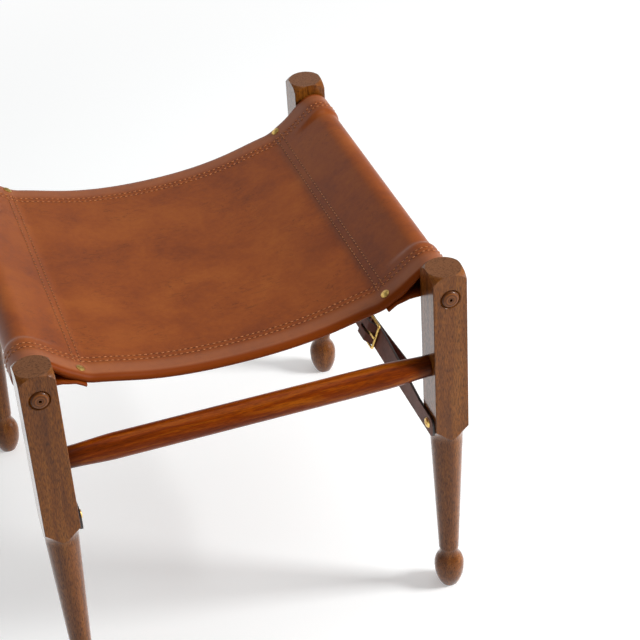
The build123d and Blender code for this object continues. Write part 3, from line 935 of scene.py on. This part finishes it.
    def stitch_lines(self) -> list[list[tuple[np.ndarray, np.ndarray]]]:
        """Every row of stitches as points with the direction that each faces."""
        top = -self.leather / 2 + self.thread_sink
        whole, seat = self.marks["end"] - self.row_short, self.marks["seam"] - self.under_row_short
        lines = []
        for side in (-1, 1):
            for inset in self.row_insets:
                for reach, under in ((whole, False), (seat, True)):
                    line = []
                    for s in np.arange(-reach, reach, self.row_step):
                        depth = self.layer - top if under else top - self.outward(s, inset)
                        line.append(self.stitch_at(s, side * (self.edge_at(s) - inset), depth, under))
                    lines.append(line)
        for end in (-1, 1):
            for offset in self.cross_offsets:
                s = end * (self.marks["seam"] + offset)
                edge = self.edge_at(s)
                reach = edge - self.cross_end_inset
                for under in (False, True):
                    line = []
                    for y in np.arange(-reach, reach, self.row_step):
                        hemmed = edge - abs(y) < self.hem + self.cross_hem_margin
                        below = 2 * self.layer if hemmed else self.layer
                        line.append(self.stitch_at(s, y, below - top if under else top, under))
                    lines.append(line)
        return lines


class PieceTree:
    """A Geometry Nodes tree with its sizes as named inputs, which ends in one smooth mesh in its material."""

    name: str
    inputs: tuple[tuple[str, str, float | None], ...]
    material: str
    result: str

    def build(self) -> bpy.types.NodeTree:
        """Builds the tree."""
        tree = bpy.data.node_groups.new(self.name, "GeometryNodeTree")
        tree.is_modifier = True
        for name, kind, value in self.inputs:
            socket = tree.interface.new_socket(name, in_out="INPUT", socket_type=kind)
            if value is not None:
                socket.default_value = value
        tree.interface.new_socket(self.result, in_out="OUTPUT", socket_type="NodeSocketGeometry")
        node = partial(add_node, tree)
        given = node("NodeGroupInput").node.outputs
        real = node("GeometryNodeRealizeInstances", {"Geometry": self.shape(node, given)})
        smooth = node("GeometryNodeSetShadeSmooth", {"Geometry": real})
        dressed = node("GeometryNodeSetMaterial", {"Geometry": smooth, "Material": given[self.material]})
        node("NodeGroupOutput", {self.result: dressed})
        return tree

    def shape(self, node: AddNode, given: bpy.types.NodeOutputs) -> Socket:
        """Lays out the geometry; each tree has its own."""
        raise NotImplementedError


class StitchTree(PieceTree):
    """Geometry Nodes that lay one thread stitch at each step of a row."""

    name = "saddle_stitching"
    inputs = (
        ("Rows", "NodeSocketGeometry", None),
        ("Pitch", "NodeSocketFloat", 0.0043),
        ("Stitch length", "NodeSocketFloat", 0.0031),
        ("Thread width", "NodeSocketFloat", 0.0009),
        ("Seed", "NodeSocketInt", 7),
        ("Thread", "NodeSocketMaterial", None),
    )
    material = "Thread"
    result = "Stitches"
    least_slant: Point = (-0.05, -0.06, 0.02)
    most_slant: Point = (0.05, 0.06, 0.22)

    def shape(self, node: AddNode, given: bpy.types.NodeOutputs) -> Socket:
        """Lays out the stitches.

        Args:
            node: Adds a node to the tree.
            given: The tree's inputs.

        Returns:
            The stitches, each slanted a little differently.
        """
        curve = node("GeometryNodeMeshToCurve", {"Mesh": given["Rows"]})
        spaced = node("GeometryNodeResampleCurve", {"Curve": curve, "Length": given["Pitch"]}, mode="LENGTH")
        tangent = node("GeometryNodeInputTangent")
        facing = node("GeometryNodeInputNamedAttribute", {"Name": "facing"}, data_type="FLOAT_VECTOR")
        align = partial(node, "FunctionNodeAlignRotationToVector")
        aimed = align({"Rotation": align({"Vector": facing}, axis="Z"), "Vector": tangent}, axis="X", pivot_axis="Z")
        between = {"Min": self.least_slant, "Max": self.most_slant, "Seed": given["Seed"]}
        slant = node("FunctionNodeRandomValue", between, data_type="FLOAT_VECTOR")
        jitter = node("FunctionNodeRotateRotation", {0: aimed, 1: slant}, rotation_space="LOCAL")
        bead = node("GeometryNodeMeshUVSphere", {"Segments": 6, "Rings": 5, "Radius": 0.5})
        width = given["Thread width"]
        size = node(JOIN, (given["Stitch length"], width, width))
        stitch = node("GeometryNodeTransform", {"Geometry": bead, "Scale": size})
        return node("GeometryNodeInstanceOnPoints", {"Points": spaced, "Instance": stitch, "Rotation": jitter})


class TurnedRodTree(PieceTree):
    """Geometry Nodes for a turned stretcher: full in the middle, drawn in towards a tenon at each end."""

    name = "turned_rod"
    inputs = (
        ("Start", "NodeSocketGeometry", None),
        ("Shoulder", "NodeSocketFloat", 0.1985),
        ("Tenon end", "NodeSocketFloat", 0.2235),
        ("Body radius", "NodeSocketFloat", 0.014),
        ("Neck radius", "NodeSocketFloat", 0.01175),
        ("Tenon radius", "NodeSocketFloat", 0.01),
        ("Taper", "NodeSocketFloat", 0.052),
        ("Hand drift", "NodeSocketFloat", 0.0002),
        ("Axis point", "NodeSocketVector", None),
        ("Seed", "NodeSocketInt", 3),
        ("Wood", "NodeSocketMaterial", None),
    )
    material = "Wood"
    result = "Rod"
    steps = 448
    sides = 56
    seed_stride = 3.7
    drift_scale = 9.0

    def shape(self, node: AddNode, given: bpy.types.NodeOutputs) -> Socket:
        """Lays out the rod.

        Args:
            node: Adds a node to the tree.
            given: The tree's inputs.

        Returns:
            The rod in its place.
        """
        far = node(JOIN, (given["Tenon end"],))
        near = node(VECTOR_MATH, {0: far, "Scale": -1.0}, operation="SCALE")
        axis = node("GeometryNodeCurvePrimitiveLine", {"Start": near, "End": far})
        points = node("GeometryNodeResampleCurve", {"Curve": axis, "Count": self.steps}, mode="COUNT")
        x = node(SPLIT, {"Vector": node("GeometryNodeInputPosition")}, "X")
        away = node(MATH, (x,), operation="ABSOLUTE")
        shoulder = given["Shoulder"]
        full = node(MATH, (shoulder, given["Taper"]), operation="SUBTRACT")
        drawn = node(MAP_RANGE, (away, full, shoulder, given["Body radius"], given["Neck radius"]), **SMOOTH)
        in_leg = node(MATH, (away, shoulder), operation="GREATER_THAN")
        radii = {FACTOR: in_leg, FLOAT_A: drawn, FLOAT_B: given["Tenon radius"]}
        radius = node(MIX, radii, data_type="FLOAT")
        line = node("GeometryNodeSetCurveRadius", {"Curve": points, "Radius": radius})
        ring = node("GeometryNodeCurvePrimitiveCircle", {"Resolution": self.sides, "Radius": 1.0})
        lathe = {"Curve": line, "Profile Curve": ring, "Fill Caps": True, "Scale": radius}
        skin = node("GeometryNodeCurveToMesh", lathe)
        wobble = node(MATH, (given["Seed"], self.seed_stride), operation="MULTIPLY")
        slow = {"W": wobble, "Scale": self.drift_scale, "Detail": 1.0}
        drift = node(NOISE, slow, "Color", noise_dimensions="4D")
        centred = node(VECTOR_MATH, (drift, (0.5, 0.5, 0.5)), operation="SUBTRACT")
        offset = node(VECTOR_MATH, {0: centred, "Scale": given["Hand drift"]}, operation="SCALE")
        total = node(VECTOR_MATH, (offset, given["Axis point"]), operation="ADD")
        return node("GeometryNodeSetPosition", {"Geometry": skin, "Offset": total})


def run_tree(
    name: str, start: bpy.types.Mesh, tree: bpy.types.NodeTree, inputs: dict[str, object]
) -> Piece:
    """Runs a Geometry Nodes tree on a mesh and keeps the result as a plain mesh.

    Args:
        name: The piece's name.
        start: The mesh that goes in.
        tree: The node tree.
        inputs: Values by the input's shown name.

    Returns:
        The piece, with no modifier left.
    """
    piece = link(bpy.data.objects.new(name, start))
    modifier = piece.modifiers.new(tree.name, "NODES")
    modifier.node_group = tree
    for item in tree.interface.items_tree:
        if item.item_type == "SOCKET" and item.in_out == "INPUT" and item.name in inputs:
            modifier[item.identifier] = inputs[item.name]
    return bake_modifiers(piece)


# The end straps


@dataclass(frozen=True)
class Station:
    """One place on a strap: u along it from the heel bar, n off it, its turn and thickness."""

    u: float
    n: float
    twist: float
    thickness: float


@dataclass
class EndStraps:
    """The two straps across one end, seen from their heel bar."""

    end: int
    label: str
    heel_x: float = 198.4
    heel_y: float = -26.5
    heel_z: float = 242.0
    width: float = 25.0
    thick: float = 3.0
    thin: float = 2.0
    twist: float = 20.0
    fold_radius: float = 2.58
    slot_half: float = 2.0
    pull_slot: tuple[float, float] = (31.6, 3.0)  # its two ends, from the strap's end
    fold_slot: float = 4.5  # its reach beyond the fold, on both sides
    round_end: float = 8.0
    edge_round: float = 0.45
    edge_band: float = 0.8
    step: float = 1.0
    least_step: float = 0.45
    weld: float = 0.01

    def across(self, twist: float) -> tuple[np.ndarray, np.ndarray]:
        """Directions through the leather and along its width at a twist in degrees."""
        turn = math.radians(twist)
        through = np.array([-self.end * math.cos(turn), 0, math.sin(turn)])
        along = np.array([self.end * math.sin(turn), 0, math.cos(turn)])
        return through, along

    def run(self, stations: list[Station]) -> tuple[np.ndarray, np.ndarray]:
        """Lays a strap's stations out in the stool.

        Args:
            stations: Places along the strap, in order.

        Returns:
            The stations' places, and the distance along the strap to each.
        """
        heel = np.array([self.end * self.heel_x, self.end * self.heel_y, self.heel_z])
        turned = [self.across(s.twist)[0] * s.n + [0, -self.end * s.u, 0] for s in stations]
        centres = heel + np.array(turned)
        return centres, np.concatenate([[0], np.cumsum(np.linalg.norm(np.diff(centres, axis=0), axis=1))])

    def ribbon(
        self,
        name: str,
        stations: list[Station],
        materials: list[Material],
        soften: int,
        slot: tuple[float, float] | None = None,
        round_first: float = 0.0,
    ) -> Piece:
        """Builds a strap through its stations.

        Args:
            name: The piece's name.
            stations: Places along the strap, in order.
            materials: Face and edge materials.
            soften: How many smoothing passes ease the bends.
            slot: Where the tongue's slot begins and ends, as distances along the strap, if it has one.
            round_first: Corner radius at the first end.

        Returns:
            The finished piece.
        """
        centres, travel = self.run(stations)
        fixed = [0.0, travel[-1], *(slot or ())]
        steps = np.arange(0, travel[-1], self.step)
        steps = [s for s in steps if min(abs(s - f) for f in fixed) > self.least_step]
        steps = np.unique(np.concatenate([steps, fixed]))
        line = np.stack([np.interp(steps, travel, centres[:, k]) for k in range(3)], axis=1)
        twist = np.interp(steps, travel, [s.twist for s in stations])
        thick = np.interp(steps, travel, [s.thickness for s in stations])
        for _ in range(soften):
            for values in (line, twist):
                values[1:-1] = (values[:-2] + 2 * values[1:-1] + values[2:]) / 4
        half = self.width / 2
        right = [self.slot_half, 4.0, 6.0, 9.0, half - self.edge_band, half]
        columns = np.array([-c for c in reversed(right)] + [0.0] + right)
        points: list[np.ndarray] = []
        for index, at in enumerate(steps):
            ahead = line[min(index + 1, len(line) - 1)] - line[max(index - 1, 0)]
            ahead /= np.linalg.norm(ahead)
            _, side = self.across(twist[index])
            side = side - ahead * (side @ ahead)
            side /= np.linalg.norm(side)
            through = np.cross(side, ahead) * self.end
            narrow = 0.0
            if at < round_first:
                narrow = round_first - math.sqrt(max(round_first**2 - (round_first - at) ** 2, 0.0))
            for column in columns:
                place = np.sign(column) * min(abs(column), half - narrow)
                for level in (-0.5, 0.5):
                    points.append(line[index] + side * place + through * level * thick[index])
        solid = np.ones((len(steps) - 1, len(columns) - 1), bool)
        if slot:
            middle = (steps[:-1] + steps[1:]) / 2
            inside = (middle > slot[0]) & (middle < slot[1])
            solid[np.ix_(inside, abs(columns[:-1] + columns[1:]) / 2 < self.slot_half)] = False
        piece = mesh_object(name, np.array(points), *self.skin(solid, materials))
        tidy = bmesh.new()
        tidy.from_mesh(piece.data)
        bmesh.ops.remove_doubles(tidy, verts=tidy.verts, dist=metres(self.weld))
        bmesh.ops.recalc_face_normals(tidy, faces=tidy.faces)
        tidy.to_mesh(piece.data)
        tidy.free()
        return round_edges(piece, self.edge_round, 50)

    @staticmethod
    def skin(
        solid: np.ndarray, materials: list[Material]
    ) -> tuple[list[tuple[int, ...]], list[Material], list[int]]:
        """Puts faces on a strap's grid of points, two points deep, with the cut edges in the second slot.

        Args:
            solid: Which cells of the grid are leather.
            materials: Face and edge materials.

        Returns:
            The faces, the materials and each face's slot.
        """
        rows, columns = solid.shape

        def point(place: tuple[int, int], level: int) -> int:
            """Index of one point of the strap's grid."""
            return (place[0] * (columns + 1) + place[1]) * 2 + level

        faces, slots = [], []
        for i, j in np.argwhere(solid).tolist():
            corners = ((i, j), (i + 1, j), (i + 1, j + 1), (i, j + 1))
            faces.append(tuple(point(c, 1) for c in corners))
            faces.append(tuple(point(c, 0) for c in reversed(corners)))
            slots += [0, 0]
            beside = ((i, j - 1), (i + 1, j), (i, j + 1), (i - 1, j))
            for p, q, (a, b) in zip(corners, corners[1:] + corners[:1], beside):
                if not (0 <= a < rows and 0 <= b < columns and solid[a, b]):
                    faces.append((point(p, 0), point(q, 0), point(q, 1), point(p, 1)))
                    slots.append(1)
        return faces, materials, slots

    def build(self, face: Material, edge: Material) -> list[Piece]:
        """Builds the leather of one end.

        Args:
            face: The straps' material.
            edge: The cut edges' material.

        Returns:
            The pull strap, the buckle strap and the guard.
        """
        turn, thick, thin = self.twist, self.thick, self.thin
        pull = [Station(u, 1.4, 0.0, thick) for u in (213.0, 172.0)]
        pull += [Station(u, n, turn, thick) for u, n in ((40.0, -3.3), (24.5, -3.3), (14.0, 5.38), (-5.8, 5.38))]
        total = self.run(pull)[1][-1]
        pull_slot = (total - self.pull_slot[0], total - self.pull_slot[1])
        flat = [Station(u, 1.4, 0.0, thick) for u in (-266.0, -225.0)]
        flat += [Station(u, 1.0, turn, thick) for u in (-40.0, -8.0)]
        fold = [
            Station(self.fold_radius * math.sin(a), self.fold_radius * math.cos(a), turn, thin)
            for a in map(math.radians, range(0, 181, 15))
        ]
        buckle = [*flat, *fold, *(Station(u, -1.6, turn, thin) for u in (-8.0, -34.0))]
        travel = self.run(buckle)[1]
        fold_slot = (travel[len(flat)] - self.fold_slot, travel[len(flat) + len(fold) - 1] + self.fold_slot)
        guard = [Station(u, n, turn, thin) for u, n in ((-36.0, -3.7), (-9.0, -3.7), (-4.0, -5.0), (4.0, -5.0))]
        tail = ((48.0, -7.6, turn), (80.0, -10.2, 16.6), (94.0, -11.2, 13.2))
        guard += [Station(*place, thin) for place in tail]
        looks = [face, edge]
        return [
            self.ribbon(f"pull_strap_leather_{self.label}", pull, looks, 4, pull_slot, self.round_end),
            self.ribbon(f"buckle_strap_leather_{self.label}", buckle, looks, 1, fold_slot, self.round_end),
            self.ribbon(f"buckle_guard_leather_{self.label}", guard, looks, 8),
        ]


# The studio


@dataclass(frozen=True)
class Lamp:
    """One soft lamp: its place, its target and its two sides in metres, and its power in watts."""

    name: str
    place: Point
    target: Point
    size: tuple[float, float]
    power: float

    def build(self) -> None:
        """Hangs the lamp."""
        data = bpy.data.lights.new(self.name, "AREA")
        data.shape = "RECTANGLE"
        data.size, data.size_y = self.size
        data.energy = self.power
        made = bpy.data.objects.new(self.name, data)
        made.location = self.place
        made.rotation_euler = (Vector(self.target) - Vector(self.place)).to_track_quat("-Z", "Y").to_euler()
        link(made)


@dataclass
class Studio:
    """Pale sweep, soft lamps and the camera that took the photograph's view."""

    lens: float = 106.3
    eye: Point = (-0.378, -1.740, 1.536)
    yaw: float = 16.84
    pitch: float = 35.36
    roll: float = -3.84
    room_light: float = 0.26
    ceiling_shine: float = 0.15
    ceiling_from: tuple[float, float] = (0.35, 0.65)  # how steeply up one looks
    right_wall_shine: float = 0.4
    right_wall_from: tuple[float, float] = (-0.3, 0.5)  # how far to the right one looks
    floor_side: float = 6000.0
    lamps: tuple[Lamp, ...] = (
        Lamp("key_right", (2.55, -1.15, 2.1), (0.05, 0.0, 0.3), (0.75, 0.75), 100.0),
        Lamp("ceiling", (0.7, 0.3, 3.1), (0.05, 0.0, 0.3), (2.6, 2.2), 24.0),
        Lamp("low_right", (2.3, -0.5, 0.6), (0.1, 0.0, 0.15), (1.6, 0.9), 12.0),
    )

    def camera(self) -> None:
        """Places the camera."""
        yaw, pitch, roll = (math.radians(a) for a in (self.yaw, self.pitch, self.roll))
        forward = Vector((math.sin(yaw) * math.cos(pitch), math.cos(yaw) * math.cos(pitch), -math.sin(pitch)))
        right = Vector((math.cos(yaw), -math.sin(yaw), 0))
        up = right.cross(forward)
        side = right * math.cos(roll) + up * math.sin(roll)
        top = up * math.cos(roll) - right * math.sin(roll)
        data = bpy.data.cameras.new("camera")
        data.lens = self.lens
        data.sensor_width = 36.0
        data.clip_end = 50.0
        made = link(bpy.data.objects.new("camera", data))
        turn = Matrix((side, top, -forward)).transposed().to_4x4()
        made.matrix_world = Matrix.Translation(self.eye) @ turn
        bpy.context.scene.camera = made

    def floor(self) -> None:
        """Lays the pale floor."""
        material = SeamlessPaper().build()
        side = self.floor_side
        corners = np.array([(-side, -side, 0), (side, -side, 0), (side, side, 0), (-side, side, 0)])
        mesh_object("paper_sweep", corners, [(0, 1, 2, 3)], [material])

    def world(self) -> None:
        """Fills the room with pale light, and darkens the ceiling and the right wall in what the stool mirrors."""
        world = bpy.data.worlds.new("studio")
        bpy.context.scene.world = world
        world.use_nodes = True
        world.node_tree.nodes.clear()
        node = partial(add_node, world.node_tree)
        rays = node("ShaderNodeLightPath").node.outputs
        split = node(SPLIT, {"Vector": node(COORDINATE, out="Generated")}).node.outputs
        walls, right_wall = (
            node(MAP_RANGE, (split[axis], near, far, 1, shine), **SMOOTH)
            for axis, (near, far), shine in (
                ("Z", self.ceiling_from, self.ceiling_shine),
                ("X", self.right_wall_from, self.right_wall_shine),
            )
        )
        room = node(MATH, (walls, right_wall), operation="MULTIPLY")
        glossy = {FACTOR: rays["Is Glossy Ray"], FLOAT_A: self.room_light, FLOAT_B: room}
        mirrored = node(MIX, glossy, data_type="FLOAT")
        seen = {FACTOR: rays["Is Camera Ray"], FLOAT_A: mirrored, FLOAT_B: 1.0}
        strength = node(MIX, seen, data_type="FLOAT")
        light = node("ShaderNodeBackground", {"Color": linear(WHITE), "Strength": strength})
        node("ShaderNodeOutputWorld", {"Surface": light})

    def build(self) -> None:
        """Builds the whole studio."""
        bpy.context.scene.view_settings.view_transform = "Standard"
        self.camera()
        self.floor()
        self.world()
        for lamp in self.lamps:
            lamp.build()


# The whole stool


@dataclass
class Finishes:
    """Every material of the stool."""

    leg: Material
    rail: Material
    stretcher: Material
    hide: Material
    raw_edge: Material
    strap: Material
    strap_edge: Material
    brass: Material
    thread: Material

    @classmethod
    def make(cls, sling: Sling) -> "Finishes":
        """Builds the finishes.

        Args:
            sling: The sling, whose rows of stitches place the hide's grooves.

        Returns:
            Every finish.
        """
        half = sling.half_width
        return cls(
            # Oil in open pores: dark streaks down the legs and a soft sheen on their turned balls
            leg=OiledWood("oiled_walnut_upright", "#5E310C", "#7C4410", "#92581E", Grain.UPRIGHT).build(),
            # Growth rings round a black spot of painted shade for the lathe's centre hole, seen on the domed end in
            # the leg's face
            rail=TurnedEnd(
                "turned_walnut_end_rail", "#80481A", "#5A300F", "#0A0402", sling.span / 2, sling.rail_height
            ).build(),
            # A redder, smoother polish with long light streaks of figure along the rod, and painted shade, partly
            # gathered stain, at both ends where they meet the leg
            stretcher=OiledWood(
                "polished_walnut_stretcher",
                "#4E1C00",
                "#7A3000",
                "#AA5A08",
                Grain.ALONG_X,
                roughness=0.3,
                specular=0.06,
                coat=0.24,
                pore_length=9.0,
                pore_shade=0.72,
                # Painted shade at both ends, where the rod meets the leg
                dark_from=198.0,
            ).build(),
            # Waxed, cloudy tan with painted shade in its creases and in the pressed lines under the thread, a
            # painted sheen along the hem and painted shade on its roll
            hide=SaddleLeather(
                "waxed_saddle_hide",
                "#70300A",
                "#8A420F",
                "#9C5219",
                hem_rows=tuple(half - inset for inset in sling.row_insets),
                rolled_edge=half,
                cross_rows=tuple(sling.marks["seam"] + offset for offset in sling.cross_offsets),
                cross_reach=half - sling.cross_end_inset,
            ).build(),
            # The hide's cut side: a thin, dark brown line at the end of each flap and of the hem beneath
            raw_edge=PlainFinish("burnished_hide_edge", "#2A1208", "#4A2412", 2.0, 0.45).build(),
            # Drier leather than the seat's: a dull, dark brown with hardly any shine
            strap=SaddleLeather(
                "waxed_strap_leather",
                "#523028",
                "#724A40",
                "#885F55",
                cloud=30.0,
                grain=0.7,
                roughness=0.55,
                specular=0.12,
                coat=0.1,
            ).build(),
            # Edge paint: a dark outline round each strap
            strap_edge=PlainFinish("painted_strap_edge", "#180C0A", "#2A1814", 1.5, 0.4).build(),
            # Aged metal: small, warm glints at the buckles, the rivets and the screws
            brass=PlainFinish("aged_brass", "#BC9048", "#EBCB7A", 3.0, 0.36, metallic=1.0, bump=0.002).build(),
            # Waxed thread: a light, matt dash at every stitch
            thread=PlainFinish("waxed_linen_thread", "#965226", "#BE7842", 0.8, 0.6, bump=0.05).build(),
        )


@dataclass
class Stool:
    """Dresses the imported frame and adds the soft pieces."""

    sling: Sling = field(default_factory=Sling)
    body: str = "stool"
    stretcher_y: float = 224.5
    stretcher_z: float = 319.0
    brasses: tuple[str, ...] = (
        "buckle_frame",
        "buckle_tongue",
        "fold_rivet",
        "sling_rivet",
        "strap_screws",
        "strap_washers",
    )

    def dress_frame(self, finishes: Finishes) -> None:
        """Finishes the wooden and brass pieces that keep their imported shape.

        Args:
            finishes: The stool's materials.
        """
        looks = (("leg_", finishes.leg), ("end_rail", finishes.rail), (self.brasses, finishes.brass))
        for name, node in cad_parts.items():
            for start, material in looks:
                if name.startswith(start):
                    node.data.materials.clear()
                    node.data.materials.append(material)
                    log.info("dressed %s with %s", name, material.name)

    def add_stretchers(self, finishes: Finishes) -> None:
        """Turns the two side stretchers, each with a seed of its own.

        Args:
            finishes: The stool's materials.
        """
        tree = TurnedRodTree().build()
        for seed, label, y in ((3, "front", -self.stretcher_y), (4, "back", self.stretcher_y)):
            axis = (0.0, metres(y), metres(self.stretcher_z))
            inputs = {"Axis point": axis, "Seed": seed, "Wood": finishes.stretcher}
            piece = run_tree(f"turned_stretcher_{label}", bpy.data.meshes.new("start"), tree, inputs)
            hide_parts(f"side_stretcher_{label}")
            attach(piece, self.body)
            log.info("turned %s", piece.name)

    def add_sling(self, finishes: Finishes) -> None:
        """Hangs the hide and sews it.

        Args:
            finishes: The stool's materials.
        """
        hide = self.sling.build(finishes.hide, finishes.raw_edge)
        rows = bmesh.new()
        facing = rows.verts.layers.float_vector.new("facing")
        for line in self.sling.stitch_lines():
            last = None
            for point, direction in line:
                vert = rows.verts.new(metres(Vector(point)))
                vert[facing] = Vector(direction)
                if last is not None:
                    rows.edges.new((last, vert))
                last = vert
        start = bpy.data.meshes.new("rows")
        rows.to_mesh(start)
        rows.free()
        sizes = {
            "Pitch": metres(self.sling.stitch_pitch),
            "Stitch length": metres(self.sling.stitch_length),
            "Thread width": metres(self.sling.thread_width),
        }
        stitches = run_tree("sling_stitching", start, StitchTree().build(), {**sizes, "Thread": finishes.thread})
        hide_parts("seat_sling")
        for piece in (hide, stitches):
            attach(piece, self.body)
            log.info("sewed %s, %d faces", piece.name, len(piece.data.polygons))

    def add_straps(self, finishes: Finishes) -> None:
        """Buckles the straps across both ends.

        Args:
            finishes: The stool's materials.
        """
        for end, label in ((1, "right"), (-1, "left")):
            straps = EndStraps(end, label).build(finishes.strap, finishes.strap_edge)
            for piece, node in zip(straps, ("pull_strap", "buckle_strap", "buckle_guard")):
                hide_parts(f"{node}_{label}")
                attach(piece, self.body)
                log.info("cut %s, %d faces", piece.name, len(piece.data.polygons))

    def build(self) -> None:
        """Builds and dresses every piece."""
        finishes = Finishes.make(self.sling)
        self.dress_frame(finishes)
        self.add_stretchers(finishes)
        self.add_sling(finishes)
        self.add_straps(finishes)


def main() -> None:
    """Builds the studio and the stool."""
    logging.basicConfig(level=logging.INFO, format="%(name)s: %(message)s")
    Studio().build()
    Stool().build()


if __name__ == "__main__":
    main()
